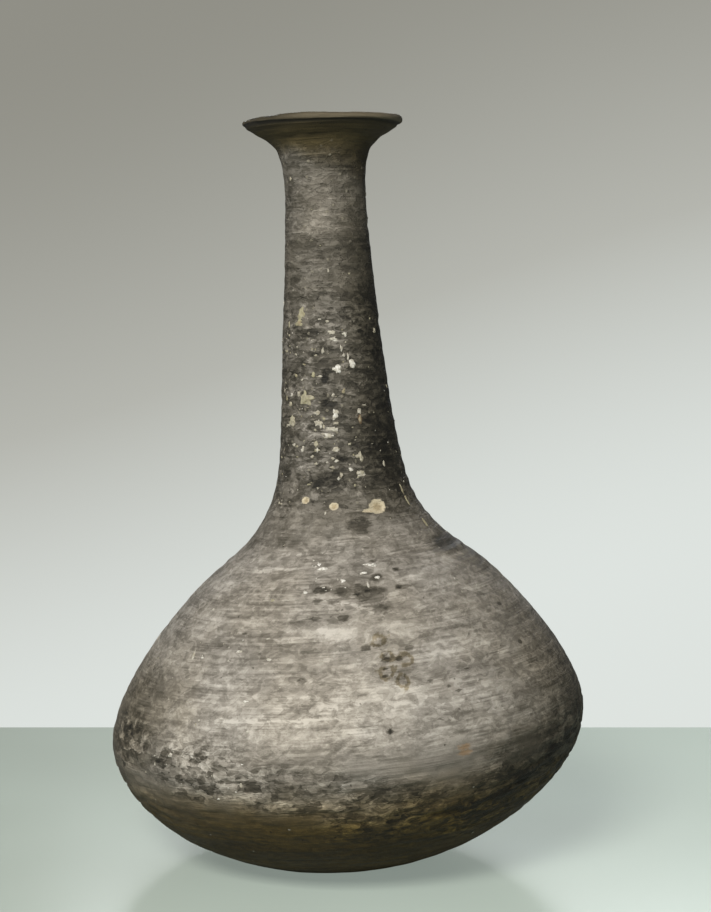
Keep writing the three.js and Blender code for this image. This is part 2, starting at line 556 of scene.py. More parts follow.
def joined_grids(grids):
    """Stacks grids that follow each other round the wall into one."""
    points = np.concatenate([grid[0] for grid in grids])
    places = np.concatenate([grid[1] for grid in grids])
    values = {key: np.concatenate([grid[2][key] for grid in grids]) for key in grids[0][2]}
    return points, places, values


def band_faces(row_count, columns, closed):
    """The quads between neighbouring rows; closed also joins the last row to the first."""
    pairs = [(row, row + 1) for row in range(row_count - 1)]
    if closed:
        pairs.append((row_count - 1, 0))
    low, high = np.array(pairs).T[:, :, None]
    here = np.arange(columns)
    after = (here + 1) % columns
    below, above = low * columns, high * columns
    corners = [below + here, below + after, above + after, above + here]
    return np.stack(corners, axis=-1).reshape(-1, 4)


def add_sheet(mesh, columns, row_share):
    """A plain wrapped map: once round is its width, and the way over the wall is its height."""
    sheet = mesh.uv_layers.new(name="OFBake")
    vertex = np.zeros(len(mesh.loops), int)
    mesh.loops.foreach_get("vertex_index", vertex)
    column = vertex % columns
    share = row_share[np.minimum(vertex // columns, len(row_share) - 1)]
    first = np.zeros(len(mesh.polygons), int)
    size = np.zeros(len(mesh.polygons), int)
    mesh.polygons.foreach_get("loop_start", first)
    mesh.polygons.foreach_get("loop_total", size)
    face = np.repeat(np.arange(len(size)), size)
    wraps = np.maximum.reduceat(column, first)[face] - column > columns // 2
    across = (column + np.where(wraps, columns, 0)) / columns
    upward = share.copy()
    highest = np.maximum.reduceat(share, first)[face]
    upward[(highest > 0.999) & (share < 0.001)] = 1.0
    flat = np.stack([0.01 + 0.98 * across, 0.01 + 0.98 * upward], axis=-1)
    sheet.data.foreach_set("uv", flat.astype(np.float32).ravel())


def set_down(name, data):
    """Puts a mesh, a lamp or a camera into the scene."""
    made = bpy.data.objects.new(name, data)
    bpy.context.scene.collection.objects.link(made)
    return made


def throw_piece(name, grids, columns, sharp_rows, closed):
    """One piece of the wall as a mesh, with its joint edges kept sharp."""
    points, places, values = joined_grids(grids)
    row_count = len(points)
    vertices = settle(points).reshape(-1, 3)
    faces = band_faces(row_count, columns, closed)
    mesh = bpy.data.meshes.new(name)
    mesh.from_pydata(vertices.tolist(), [], faces.tolist())
    if not closed:
        cap_ends(mesh, row_count, columns)
    mesh.update()
    place = mesh.attributes.new("upright", "FLOAT_VECTOR", "POINT")
    upright = np.zeros((len(mesh.vertices), 3), np.float32)
    upright[: len(vertices)] = places.reshape(-1, 3)
    upright[len(vertices) :] = (0.0, 0.0, FLOOR_WALL)
    place.data.foreach_set("vector", upright.ravel())
    for key, value in values.items():
        field = np.full(len(mesh.vertices), -1.0, np.float32)
        field[: len(vertices)] = value.ravel()
        mesh.attributes.new(key, "FLOAT", "POINT").data.foreach_set("value", field)
    steps = np.linalg.norm(np.diff(points[:, 0], axis=0), axis=1)
    share = np.concatenate([[0.0], np.cumsum(steps)])
    add_sheet(mesh, columns, share / (share[-1] + steps[-1] * closed))
    mesh.polygons.foreach_set("use_smooth", np.ones(len(mesh.polygons), bool))
    keep_sharp(mesh, columns, sharp_rows)
    return set_down(name, mesh)


def cap_ends(mesh, row_count, columns):
    """Closes the small round holes that the first and last rows leave on the axis."""
    shape = bmesh.new()
    shape.from_mesh(mesh)
    made = list(shape.verts)
    for row, flip in ((0, True), (row_count - 1, False)):
        ring = made[row * columns : (row + 1) * columns]
        middle = shape.verts.new(sum((vertex.co for vertex in ring), Vector()) / columns)
        for here, after in zip(ring, ring[1:] + ring[:1]):
            corners = (here, after, middle) if not flip else (after, here, middle)
            shape.faces.new(corners)
    shape.to_mesh(mesh)
    shape.free()


def keep_sharp(mesh, columns, sharp_rows):
    """Marks the edges along these rows as sharp, so that the skin ends cleanly at a joint."""
    ends = np.zeros(len(mesh.edges) * 2, int)
    mesh.edges.foreach_get("vertices", ends)
    rows = ends.reshape(-1, 2) // columns
    sharp = np.isin(rows[:, 0], sharp_rows) & (rows[:, 0] == rows[:, 1])
    mesh.attributes.new("sharp_edge", "BOOLEAN", "EDGE").data.foreach_set("value", sharp)


def wall_sides(low, high, step, columns, inner_step=INNER_STEP):
    """The outside and the inside of the wall between two heights."""
    outer = surface_grid(rows_between(low, high, step), columns, outer_relief)
    inner = surface_grid(inner_rows(low, high, inner_step)[::-1], columns, inner_relief)
    return outer, inner


def throw_bowl():
    """The lower body: round base with its flat, up to the belly joint, and back down inside."""
    outer, inner = wall_sides(FOOT_START, BELLY_JOINT - HALF_SLIP, BODY_STEP, BODY_COLUMNS)
    rim = len(outer[0])
    return throw_piece("thrown_bowl", [outer, inner], BODY_COLUMNS, [rim - 1, rim], False)


def throw_section(name, low, high, step):
    """A section of the body's wall with a joint at each end."""
    outer, inner = wall_sides(low, high, step, BODY_COLUMNS)
    rim = len(outer[0])
    last = rim + len(inner[0]) - 1
    return throw_piece(name, [outer, inner], BODY_COLUMNS, [0, rim - 1, rim, last], True)


def throw_neck():
    """The neck and its lip, which is rounded over without a joint."""
    low = NECK_JOINT + HALF_SLIP
    outer, inner = wall_sides(low, LIP_HEIGHT, NECK_STEP, NECK_COLUMNS, NECK_INNER_STEP)
    lip = surface_grid(lip_rows(), NECK_COLUMNS, outer_relief)
    last = len(outer[0]) + len(lip[0]) + len(inner[0]) - 1
    return throw_piece("thrown_neck", [outer, lip, inner], NECK_COLUMNS, [0, last], True)


# ---- Lime crusts, and white specks that are painted glints ----
# The crusts that catch the eye: angle, height, half width, half height and how yellow they are.
LARGE_CRUSTS = [
    (-32, 164, 2.5, 2.1, 0.62),
    (-36, 192, 1.1, 1.6, 0.7),
    (-40, 189, 1.5, 1.1, 0.8),
    (-50, 156, 1.4, 1.5, 0.5),
    (4, 173, 1.4, 1.3, 0.1),
    (23, 175, 1.1, 1.1, 0.1),
    (0, 158, 0.9, 1.7, 0.1),
    (-4, 153, 2.0, 0.9, 0.2),
    (-9, 151, 1.6, 0.8, 0.2),
    (24, 156, 0.5, 1.2, 0.9),
    (59, 131, 0.5, 1.7, 0.8),
    (60, 127, 0.6, 1.6, 0.8),
    (65, 119, 0.6, 1.6, 0.8),
]

# Where smaller crusts are strewn: a height range, an angle range, how many there are, the size of
# the smallest, how much larger the largest is, and how yellow they get. Most are on the neck,
# where the soil held them, and some are on the body. The whitest ones on the front of the
# shoulder are painted glints.
CRUST_REGIONS = [
    (127, 192, -70, 22, 110, 0.20, 0.60, 0.85),
    (127, 196, 22, 290, 84, 0.20, 0.55, 0.85),
    (58, 126, -180, 180, 46, 0.20, 0.55, 0.7),
    (196, 238, -180, 180, 14, 0.20, 0.40, 0.7),
    # White specks on the front of the shoulder: painted glints, where it catches the light.
    (101, 111.5, -16, 1, 16, 0.20, 0.50, 0.1),
    (64, 92, -56, -14, 24, 0.20, 0.50, 0.3),
    (40, 56, -58, -20, 12, 0.20, 0.50, 0.3),
    (133, 149, -52, 22, 17, 0.60, 0.55, 0.6),
    (149, 166, -30, 26, 6, 0.60, 0.50, 0.4),
    (176, 189, -12, 18, 8, 0.60, 0.35, 0.25),
    # More white specks on the front of the shoulder: painted glints.
    (102, 111, -15, 14, 9, 0.60, 0.45, 0.05),
    (46, 88, -50, -22, 8, 0.45, 0.55, 0.3),
]


def scattered_crusts(seed=11):
    """Smaller crusts, and the white specks of painted glints, strewn over each region, most of
    them near its smallest size.
    """
    draw = np.random.default_rng(seed)
    for low, high, left, right, count, smallest, extra, yellowest in CRUST_REGIONS:
        for _ in range(count):
            size = smallest + extra * draw.random() ** 4.2
            shape = draw.uniform(0.55, 1.7)
            spot = (draw.uniform(left, right), draw.uniform(low, high))
            tint = draw.uniform(0.1 * yellowest, yellowest)
            yield (*spot, size * shape, size / shape, tint)


def round_ball(level):
    """The points and triangles of a ball of radius 1."""
    shape = bmesh.new()
    bmesh.ops.create_icosphere(shape, subdivisions=level, radius=1.0)
    points = np.array([vertex.co for vertex in shape.verts])
    faces = np.array([[vertex.index for vertex in face.verts] for face in shape.faces])
    shape.free()
    return points, faces


def crust_points(ball, around, height, half_width, half_height, shift):
    """One irregular flattened lump, bedded into the clay."""
    row = outline_at([length_at(height)])[0]
    turn = np.array(float(around))
    place = upright_point(turn, row)
    lift = float(outer_relief(turn, row, place))
    here = settle(place + (upright_point(turn, row, 1.0) - place) * lift)
    out = Vector(settle(upright_point(turn, row, 1.0)) - settle(place)).normalized()
    across = Vector(settle(upright_point(turn + 0.5, row)) - settle(place)).normalized()
    up = out.cross(across).normalized()
    thick = 0.28 * min(half_width, half_height) + 0.11
    probe = ball * np.array([1.0, 1.0, 0.25]) + shift * 3.1
    ragged = 1.0 + 0.62 * hills(probe, 0.75, 11) + 0.36 * hills(probe, 0.33, 12)
    ragged = np.maximum(ragged, 0.3)
    bumps = 1.0 + 0.55 * hills(ball + shift * 2.3, 0.45, 13)
    moved = np.outer(ball[:, 0] * half_width * ragged, across)
    moved += np.outer(ball[:, 1] * half_height * ragged, up)
    moved += np.outer(ball[:, 2] * thick * bumps, out)
    return here + moved * MM


def make_lime_crusts():
    """All the lime crusts, and the white specks of painted glints, as one piece."""
    balls = {level: round_ball(level) for level in (2, 3, 4)}
    points, faces, tints = [], [], []
    start = 0
    crusts = [*LARGE_CRUSTS, *scattered_crusts()]
    for number, (around, height, wide, high, tint) in enumerate(crusts):
        size = max(wide, high)
        level = 2 + (size > 0.7) + (size > 1.3)
        ball, ball_faces = balls[level]
        points.append(crust_points(ball, around, height, wide, high, number))
        faces.append(ball_faces + start)
        tints.append(np.full(len(ball), tint))
        start += len(ball)
    mesh = bpy.data.meshes.new("lime_crusts")
    mesh.from_pydata(np.concatenate(points).tolist(), [], np.concatenate(faces).tolist())
    tint_values = np.concatenate(tints).astype(np.float32)
    mesh.attributes.new("tint", "FLOAT", "POINT").data.foreach_set("value", tint_values)
    mesh.polygons.foreach_set("use_smooth", np.ones(len(mesh.polygons), bool))
    return set_down("lime_crusts", mesh)


# ---- Node helpers ----
class Wiring:
    """Adds nodes to a tree and joins them, so that a finish reads from top to bottom."""

    def __init__(self, tree):
        self.tree = tree

    def feed(self, socket, value):
        if isinstance(value, bpy.types.NodeSocket):
            self.tree.links.new(value, socket)
        elif socket.type == "RGBA":
            socket.default_value = (*value, 1.0)
        else:
            socket.default_value = value

    def node(self, kind, **settings):
        made = self.tree.nodes.new(kind)
        for name, value in settings.items():
            setattr(made, name, value)
        return made

    def fill(self, made, **values):
        for name, value in values.items():
            self.feed(made.inputs[name], value)

    def maths(self, operation, first, second=0.0, third=0.0):
        made = self.node("ShaderNodeMath", operation=operation)
        for socket, value in zip(made.inputs, (first, second, third)):
            self.feed(socket, value)
        return made.outputs[0]

    def times(self, first, second):
        return self.maths("MULTIPLY", first, second)

    def add(self, start, value, strength):
        """The start with the value on top, times its strength."""
        return self.maths("MULTIPLY_ADD", value, strength, start)

    def layered(self, start, zones):
        """The start with the layers of each zone added, each a value and its strength there."""
        for zone, *layers in zones:
            for value, strength in layers:
                share = strength if zone is None else self.times(zone, strength)
                start = self.add(start, value, share)
        return start

    def parts(self, vector):
        made = self.node("ShaderNodeSeparateXYZ")
        self.feed(made.inputs[0], vector)
        return made.outputs[0], made.outputs[1], made.outputs[2]

    def shaken(self, vector, scale, detail, amount=None):
        """The places, each moved a little at random."""
        jitter = self.node("ShaderNodeTexNoise")
        self.fill(jitter, Vector=vector, Scale=scale, Detail=detail)
        moved = self.node("ShaderNodeVectorMath", operation="ADD")
        self.feed(moved.inputs[0], vector)
        push = jitter.outputs["Color"]
        self.feed(moved.inputs[1], self.stretch(push, (amount,) * 3) if amount else push)
        return moved.outputs[0]

    def first_part(self, colour):
        made = self.node("ShaderNodeSeparateColor")
        self.feed(made.inputs[0], colour)
        return made.outputs[0]

    def stretch(self, vector, shares):
        made = self.node("ShaderNodeVectorMath", operation="MULTIPLY")
        self.feed(made.inputs[0], vector)
        self.feed(made.inputs[1], shares)
        return made.outputs[0]

    def vector(self, x, y, z):
        made = self.node("ShaderNodeCombineXYZ")
        for socket, value in zip(made.inputs, (x, y, z)):
            self.feed(socket, value)
        return made.outputs[0]

    def noise(self, vector, scale, detail=3.0, roughness=0.55, distortion=0.0):
        made = self.node("ShaderNodeTexNoise", noise_dimensions="3D")
        self.fill(made, Vector=vector, Scale=scale, Detail=detail)
        self.fill(made, Roughness=roughness, Distortion=distortion)
        return made.outputs[0]

    def fade(self, value, low, high, start=0.0, end=1.0):
        made = self.node("ShaderNodeMapRange", interpolation_type="SMOOTHSTEP")
        for socket, number in zip(made.inputs, (value, low, high, start, end)):
            self.feed(socket, number)
        return made.outputs[0]

    def blend(self, share, first, second, mode="MIX"):
        made = self.node("ShaderNodeMix", data_type="RGBA", blend_type=mode)
        self.feed(made.inputs[0], share)
        self.feed(made.inputs[6], first)
        self.feed(made.inputs[7], second)
        return made.outputs[2]

    def ramp(self, value, stops):
        made = self.node("ShaderNodeValToRGB")
        ramp = made.color_ramp
        while len(ramp.elements) < len(stops):
            ramp.elements.new(0.5)
        for element, (position, colour) in zip(ramp.elements, stops):
            element.position = position
            element.color = (*colour, 1.0)
        self.feed(made.inputs[0], value)
        return made.outputs[0]

    def group(self, made, **inputs):
        placed = self.node("ShaderNodeGroup", node_tree=made)
        for name, value in inputs.items():
            self.feed(placed.inputs[name.replace("_", " ")], value)
        return placed.outputs


def new_group(name, outputs, **inputs):
    """An empty shader group that is given a place and these numbers, and gives the outputs."""
    tree = bpy.data.node_groups.new(name, "ShaderNodeTree")
    new_socket = tree.interface.new_socket
    new_socket("Place", in_out="INPUT", socket_type="NodeSocketVector")
    for label, default in inputs.items():
        label = label.replace("_", " ")
        new_socket(label, in_out="INPUT", socket_type="NodeSocketFloat").default_value = default
    for label in outputs:
        kind = "NodeSocketColor" if label == "Colour" else "NodeSocketFloat"
        new_socket(label, in_out="OUTPUT", socket_type=kind)
    wiring = Wiring(tree)
    inside = wiring.node("NodeGroupInput").outputs
    return tree, wiring, inside, wiring.node("NodeGroupOutput").inputs


# ---- Shared surface effects. Places are in the upright bottle's millimetres ----
def make_level_streaks():
    """Streaks that run level round the bottle, as a burnishing pebble leaves them."""
    tree, w, inside, out = new_group("level_streaks", ["Streak"], Length=12.0, Thickness=1.0)
    along = w.maths("DIVIDE", 1.0, inside["Length"])
    up = w.maths("DIVIDE", 1.0, inside["Thickness"])
    squeezed = w.stretch(inside["Place"], w.vector(along, along, up))
    streak = w.noise(squeezed, 1.0, detail=2.0, roughness=0.5, distortion=0.35)
    w.feed(out["Streak"], w.maths("SUBTRACT", streak, 0.5))
    return tree


def make_blotches():
    """Torn patches with a soft or a crisp edge, from -0.5 to 0.5."""
    tree, w, inside, out = new_group("blotches", ["Blotch"], Size=8.0, Flatness=2.0, Edge=0.1)
    along = w.maths("DIVIDE", 1.0, inside["Size"])
    up = w.times(along, inside["Flatness"])
    squeezed = w.stretch(inside["Place"], w.vector(along, along, up))
    torn = w.noise(squeezed, 1.0, detail=3.0, roughness=0.52, distortion=1.4)
    low = w.maths("SUBTRACT", 0.5, inside["Edge"])
    high = w.maths("ADD", 0.5, inside["Edge"])
    w.feed(out["Blotch"], w.fade(torn, low, high, -0.5, 0.5))
    return tree


def make_chips():
    """Level chips with crisp edges, each of its own lightness from -0.5 to 0.5."""
    tree, w, inside, out = new_group("chips", ["Chip"], Size=4.0, Flatness=1.8)
    along = w.maths("DIVIDE", 1.0, inside["Size"])
    up = w.times(along, inside["Flatness"])
    squeezed = w.stretch(inside["Place"], w.vector(along, along, up))
    cells = w.node("ShaderNodeTexVoronoi", feature="SMOOTH_F1")
    w.fill(cells, Vector=w.shaken(squeezed, 1.3, 3.0, 1.6), Scale=1.0, Smoothness=0.06)
    w.feed(out["Chip"], w.maths("SUBTRACT", w.first_part(cells.outputs["Color"]), 0.5))
    return tree


def make_fine_grain():
    """The sandy grain of the clay."""
    tree, w, inside, out = new_group("fine_grain", ["Grain"], Size=0.5)
    scale = w.maths("DIVIDE", 1.0, inside["Size"])
    coarse = w.noise(inside["Place"], scale, detail=3.0, roughness=0.7)
    w.feed(out["Grain"], w.maths("SUBTRACT", coarse, 0.5))
    return tree


def make_flecks():
    """Small separate flecks; Share says how many of the cells have one."""
    tree, w, inside, out = new_group("flecks", ["Fleck"], Spacing=3.0, Size=0.2, Share=0.4)
    cells = w.node("ShaderNodeTexVoronoi", feature="F1")
    scale = w.maths("DIVIDE", 1.0, inside["Spacing"])
    w.fill(cells, Vector=w.shaken(inside["Place"], 1.4, 2.0), Scale=scale)
    inner_edge = w.times(inside["Size"], 0.55)
    spot = w.fade(cells.outputs["Distance"], inner_edge, inside["Size"], 1.0, 0.0)
    chosen = w.maths("LESS_THAN", w.first_part(cells.outputs["Color"]), inside["Share"])
    w.feed(out["Fleck"], w.times(spot, chosen))
    return tree


def make_ragged_mark():
    """Turns the smooth field of a mark into a patch with a broken edge."""
    tree, w, inside, out = new_group(
        "ragged_mark", ["Mark"], Field=0.0, Size=1.5, Rough_edge=0.6, Soft_edge=0.12
    )
    scale = w.maths("DIVIDE", 1.0, inside["Size"])
    ragged = w.maths("SUBTRACT", w.noise(inside["Place"], scale, detail=4.0, roughness=0.65), 0.5)
    field = w.add(inside["Field"], ragged, inside["Rough edge"])
    low = w.times(inside["Soft edge"], -1.0)
    w.feed(out["Mark"], w.fade(field, low, inside["Soft edge"]))
    return tree


LEVEL_STREAKS = make_level_streaks()
BLOTCHES = make_blotches()
CHIPS = make_chips()
FINE_GRAIN = make_fine_grain()
FLECKS = make_flecks()
RAGGED_MARK = make_ragged_mark()

# The clay's colours from soot to dust, which its tone picks from.
CLAY_TONES = [
    (0.00, (0.010, 0.009, 0.007)),
    (0.20, (0.030, 0.027, 0.020)),
    (0.40, (0.085, 0.076, 0.059)),
    (0.60, (0.194, 0.176, 0.147)),
    (0.80, (0.368, 0.338, 0.293)),
    (1.00, (0.600, 0.562, 0.502)),
]

# How light the clay is at each height, before streaks and stains. The dark at the foot is painted
# shade on the underside, on clay that is also a darker brown there; the dark under the lip is
# painted shadow of the lip.
TONE_BY_HEIGHT = [
    (0, 0.25),
    (22, 0.265),
    (34, 0.40),
    (46, 0.55),
    (56, 0.68),
    (66, 0.75),
    (80, 0.74),
    (98, 0.73),
    (107, 0.69),
    (119, 0.615),
    (130, 0.47),
    (142, 0.42),
    (165, 0.43),
    (186, 0.43),
    (205, 0.46),
    (239, 0.52),
    (247, 0.31),
    (260, 0.20),
]


CLAY_FIELDS = [*PATCHES, "ring", "score", "dust"]


def make_fired_clay():
    """The look of the fired clay all over the bottle: its colour, roughness and fine relief."""
    tree, w, inside, out = new_group(
        "fired_clay",
        ["Colour", "Roughness", "Height"],
        **{key.capitalize(): -1.0 for key in CLAY_FIELDS},
    )
    place = inside["Place"]
    rightward, _, up = w.parts(place)

    def effect(group, **settings):
        return w.group(group, Place=place, **settings)[0]

    def torn(field, size, rough, soft):
        return effect(RAGGED_MARK, Field=field, Size=size, Rough_edge=rough, Soft_edge=soft)

    wander = w.maths("SUBTRACT", w.noise(place, 1.0 / 22.0, detail=3.0), 0.5)
    # Under the lip the dark zone reaches further down on the right: painted shadow of the lip,
    # which falls lower on that side.
    on_neck = w.times(w.fade(up, 205, 232), w.fade(up, 253, 241))
    creep = w.times(rightward, on_neck)
    height = w.add(w.add(up, wander, 14.0), creep, 0.5)
    share = w.maths("DIVIDE", height, OVERALL_HEIGHT)
    stops = [(at / OVERALL_HEIGHT, (tone, tone, tone)) for at, tone in TONE_BY_HEIGHT]
    level = w.ramp(share, stops)

    broad = effect(LEVEL_STREAKS, Length=40.0, Thickness=7.0)
    middle = effect(LEVEL_STREAKS, Length=26.0, Thickness=2.0)
    thin = effect(LEVEL_STREAKS, Length=24.0, Thickness=0.55)
    patch = effect(BLOTCHES, Size=10.0, Flatness=1.9, Edge=0.07)
    scab = effect(BLOTCHES, Size=5.2, Flatness=2.0, Edge=0.035)
    crumbs = effect(BLOTCHES, Size=2.2, Flatness=1.6, Edge=0.08)
    grain = effect(FINE_GRAIN, Size=0.5)
    chip = effect(CHIPS, Size=4.2, Flatness=1.9)
    slab = effect(CHIPS, Size=6.4, Flatness=1.9)
    shard = effect(CHIPS, Size=1.9, Flatness=1.5)
    broken = w.times(thin, w.fade(w.noise(place, 1.0 / 9.0, detail=2.0), 0.44, 0.60))

    # Zones: the flaked band below the belly, the smooth base under it and the sooty, pitted neck.
    flaked = w.fade(w.add(inside["Flake"], wander, 0.8), 0.0, 0.5)
    bold_flakes = w.times(flaked, w.fade(rightward, 14, -14))
    base = w.fade(height, 48, 26)
    sooty_neck = w.times(w.fade(height, 117, 132), w.fade(height, 215, 180))
    mottled_neck = w.times(w.fade(height, 110, 136), w.fade(height, 252, 244))
    burnished = w.times(w.fade(height, 46, 60), w.fade(height, 128, 112))
    worn = w.fade(w.noise(place, 1.0 / 38.0, detail=2.0), 0.40, 0.60)
    mottled_body = w.times(burnished, worn)
    brushed_body = w.times(burnished, w.maths("SUBTRACT", 1.2, worn))

    mottles = (
        (None, (broad, 0.32), (middle, 0.24), (broken, 0.44)),
        (brushed_body, (thin, 0.10)),
        (burnished, (patch, 0.09), (scab, 0.09), (chip, 0.12), (shard, 0.09)),
        (mottled_body, (crumbs, 0.07)),
        (base, (scab, 0.07), (crumbs, 0.05)),
        (flaked, (patch, 0.14), (scab, 0.10), (slab, 0.34)),
        (bold_flakes, (slab, 0.06)),
        (flaked, (shard, 0.14)),
        (mottled_neck, (patch, 0.10), (scab, 0.06), (chip, 0.08), (shard, 0.09)),
        (sooty_neck, (scab, 0.07), (chip, 0.10), (shard, 0.10)),
        (None, (grain, 0.12), (bold_flakes, 0.04)),
    )

    # The smoke-and-shade zones: partly smoke on the clay, partly painted shade on the sides away
    # from the lamp.
    smoke = w.fade(w.add(inside["Smoke"], patch, 0.16), -0.15, 0.95)
    torn_soot = w.add(w.add(inside["Soot"], thin, 1.6), chip, 0.5)
    soot = torn(torn_soot, 2.6, 1.2, 0.3)
    pale = torn(inside["Pale"], 2.2, 2.6, 0.35)
    ring = torn(inside["Ring"], 1.3, 2.8, 0.5)
    rust = torn(inside["Rust"], 1.2, 1.5, 0.3)
    lime = torn(inside["Lime"], 1.3, 0.7, 0.10)
    scored = w.maths("MAXIMUM", inside["Score"], 0.0)
    torn_dust = w.add(w.times(inside["Dust"], 1.3), scab, 0.5)
    dusted = w.fade(torn_dust, 0.15, 1.0)
    pits = effect(FLECKS, Spacing=5.0, Size=0.085, Share=0.35)
    bead = w.fade(up, 255, 256)
    # Painted highlight: the top of the lip's bead is lighter, more so on the right.
    lit_bead = w.times(bead, w.fade(rightward, -18, 8, 0.10, 0.26))
    stains = (
        (None, (smoke, -0.27), (soot, -0.29), (pale, 0.10), (ring, -0.17)),
        (None, (scored, -0.20), (dusted, 0.13), (pits, -0.22), (lit_bead, 1.0)),
    )
    colour = w.ramp(w.layered(level, mottles + stains), CLAY_TONES)

    # The base and the underside of the lip are tinted brown olive, partly the clay's own colour
    # and partly the olive hue of the painted shade there; the smoke-and-shade zones are tinted a
    # little brown too.
    under_lip = w.fade(height, 240, 250)
    olive = w.times(under_lip, w.add(0.9, bead, -0.5))
    cooler = w.fade(w.noise(place, 1.0 / 30.0, detail=2.0), 0.35, 0.65, 0.0, 0.6)
    for share, tint in (
        (base, (0.96, 0.72, 0.22)),
        (olive, (0.96, 0.80, 0.38)),
        (w.times(smoke, 0.5), (1.0, 0.94, 0.78)),
        (w.times(ring, 0.6), (1.0, 0.88, 0.60)),
        (cooler, (0.95, 0.98, 1.04)),
    ):
        colour = w.blend(share, colour, tint, "MULTIPLY")

    colour = w.blend(w.times(rust, 0.75), colour, (0.25, 0.165, 0.09))
    neck_dust = effect(FLECKS, Spacing=2.6, Size=0.26, Share=0.36)
    dusty = w.times(mottled_neck, w.add(0.60, smoke, -0.6))
    colour = w.blend(w.times(neck_dust, dusty), colour, (0.30, 0.275, 0.215))
    flecks = effect(FLECKS, Spacing=6.5, Size=0.07, Share=0.3)
    colour = w.blend(w.times(flecks, 0.7), colour, (0.52, 0.49, 0.42))
    bright = w.fade(w.add(inside["Lime"], grain, 1.2), 0.15, 0.75, 0.15, 0.85)
    cream = w.blend(bright, (0.66, 0.59, 0.44), (0.39, 0.31, 0.19))
    w.feed(out["Colour"], w.blend(lime, colour, cream))

    dull = w.fade(middle, -0.15, 0.15, 0.60, 0.78)
    dull = w.add(dull, grain, 0.25)
    w.feed(out["Roughness"], w.add(dull, lime, 0.12))

    rough_zone = w.maths("MAXIMUM", flaked, mottled_neck)
    bumps = (
        (None, (thin, 0.7), (middle, 0.6)),
        (rough_zone, (scab, 0.6)),
        (mottled_neck, (chip, 0.8)),
        (flaked, (slab, 1.1)),
        (rough_zone, (shard, 0.6)),
        (mottled_body, (scab, 0.22)),
        (mottled_neck, (neck_dust, 0.4)),
        (None, (pits, -0.8), (soot, -0.12), (ring, -0.25)),
    )
    w.feed(out["Height"], w.layered(w.times(grain, 0.5), bumps))
    return tree


FIRED_CLAY = make_fired_clay()


# ---- Finishes ----
def new_finish(name):
    """A new material with an empty tree, its surface shader and the wiring for it."""
    finish = bpy.data.materials.new(name)
    finish.use_nodes = True
    finish.node_tree.nodes.clear()
    wiring = Wiring(finish.node_tree)
    shader = wiring.node("ShaderNodeBsdfPrincipled")
    output = wiring.node("ShaderNodeOutputMaterial")
    wiring.feed(output.inputs["Surface"], shader.outputs[0])
    return finish, wiring, shader.inputs


def attribute(w, name, vector=False):
    made = w.node("ShaderNodeAttribute", attribute_name=name, attribute_type="GEOMETRY")
    return made.outputs["Vector" if vector else "Fac"]


def raise_surface(w, surface, height, tallest, strength):
    """Fine relief, up to so many millimetres tall."""
    bump = w.node("ShaderNodeBump")
    w.fill(bump, Distance=tallest * MM, Strength=strength, Height=height)
    w.feed(surface["Normal"], bump.outputs[0])


def clay_finish(name, sheen, bump_strength):
    """Fired clay. Every section shares its look, so that no seam shows where they meet."""
    finish, w, surface = new_finish(name)
    fields = {key.capitalize(): attribute(w, key) for key in CLAY_FIELDS}
    clay = w.group(FIRED_CLAY, Place=attribute(w, "upright", vector=True), **fields)
    w.feed(surface["Base Color"], clay["Colour"])
    w.feed(surface["Roughness"], clay["Roughness"])
    raise_surface(w, surface, clay["Height"], 0.35, bump_strength)
    surface["Specular IOR Level"].default_value = 0.32
    surface["Sheen Weight"].default_value = sheen
    surface["Sheen Roughness"].default_value = 0.5
    return finish


def lime_finish():
    """Chalky lime, from white through cream to a dull yellow; its white also colours the painted
    glints on the shoulder.
    """
    finish, w, surface = new_finish("lime_crust")
    place = w.node("ShaderNodeTexCoord").outputs["Object"]
    grain = w.noise(place, 1100.0, detail=3.0, roughness=0.7)
    cloud = w.noise(place, 700.0, detail=2.0)
    tint = w.add(attribute(w, "tint"), w.maths("SUBTRACT", cloud, 0.5), 0.8)
    colour = w.ramp(
        tint,
        [
            # The whitest end also colours the painted glints on the shoulder.
            (0.0, (0.82, 0.81, 0.77)),
            (0.13, (0.58, 0.56, 0.50)),
            (0.35, (0.45, 0.42, 0.34)),
            (0.75, (0.37, 0.35, 0.23)),
            (1.0, (0.30, 0.23, 0.15)),
        ],
    )
    soiled = w.fade(grain, 0.40, 0.66, 0.0, 0.65)
    w.feed(surface["Base Color"], w.blend(soiled, colour, (0.25, 0.22, 0.165)))
    w.feed(surface["Roughness"], w.fade(cloud, 0.3, 0.7, 0.78, 0.95))
    raise_surface(w, surface, grain, 0.18, 0.7)
    surface["Specular IOR Level"].default_value = 0.25
    return finish


def stand_in(piece, finish, node=None):
    """Gives a piece its finish and its place in the frame."""
    piece.data.materials.append(finish)
    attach(piece, "root")
    if node:
        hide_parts(node)


burnished_clay = clay_finish("burnished_clay", 0.03, 0.9)
sooted_clay = clay_finish("sooted_clay", 0.02, 1.0)
scraped_clay = clay_finish("scraped_clay", 0.02, 0.9)
joint_slip = clay_finish("joint_slip", 0.02, 0.9)

belly_low, belly_high = BELLY_JOINT - HALF_SLIP, BELLY_JOINT + HALF_SLIP
neck_low, neck_high = NECK_JOINT - HALF_SLIP, NECK_JOINT + HALF_SLIP
belly_slip = throw_section("belly_slip", belly_low, belly_high, SLIP_STEP)
shoulder = throw_section("thrown_shoulder", belly_high, neck_low, BODY_STEP)
neck_slip = throw_section("neck_slip", neck_low, neck_high, SLIP_STEP)

stand_in(throw_bowl(), scraped_clay, "lower_body")
stand_in(belly_slip, joint_slip, "belly_joint_slip")
stand_in(shoulder, burnished_clay, "upper_body")
stand_in(neck_slip, joint_slip, "neck_joint_slip")
stand_in(throw_neck(), sooted_clay, "neck")
stand_in(make_lime_crusts(), lime_finish())


# ---- Stage, light and camera ----
ROOM_LIGHT = 0.13
FLOOR_GLOW = 0.58
CAMERA_TILT = math.radians(4.55)


